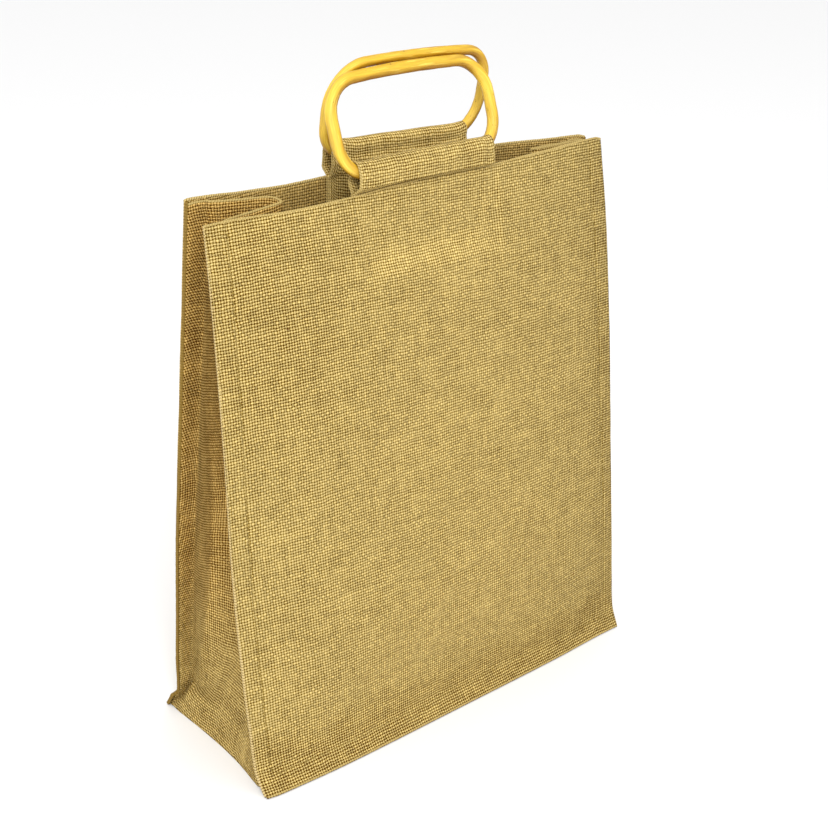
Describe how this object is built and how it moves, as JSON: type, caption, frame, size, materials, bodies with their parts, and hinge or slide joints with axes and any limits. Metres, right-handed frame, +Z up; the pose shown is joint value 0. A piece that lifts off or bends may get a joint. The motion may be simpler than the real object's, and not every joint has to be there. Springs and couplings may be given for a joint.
{
  "type": "tote bag",
  "caption": "Open-topped woven jute carrier bag with folded side gussets, a flat base and rigid looped cane handles held in cloth sleeves.",
  "frame": {"origin": "middle of the base's underside, on the surface that the bag stands on", "axes": "+Z up, +X to the right across the bag, front panel facing -Y"},
  "size_m": [0.3569, 0.1386, 0.4733],
  "materials": {
    "jute": "natural undyed jute in a coarse plain weave",
    "gusset_jute": "natural undyed jute in a coarse plain weave",
    "sleeve_jute": "natural undyed jute in a coarse plain weave",
    "cane": "clear-varnished golden cane with streaked grain"
  },
  "bodies": {
    "root": {"front_panel": "jute", "back_panel": "jute", "gusset_strip": "gusset_jute", "handle_sleeve_front": "sleeve_jute", "handle_sleeve_back": "sleeve_jute", "cane_ring_front": "cane", "cane_ring_back": "cane"}
  },
  "joints": []
}
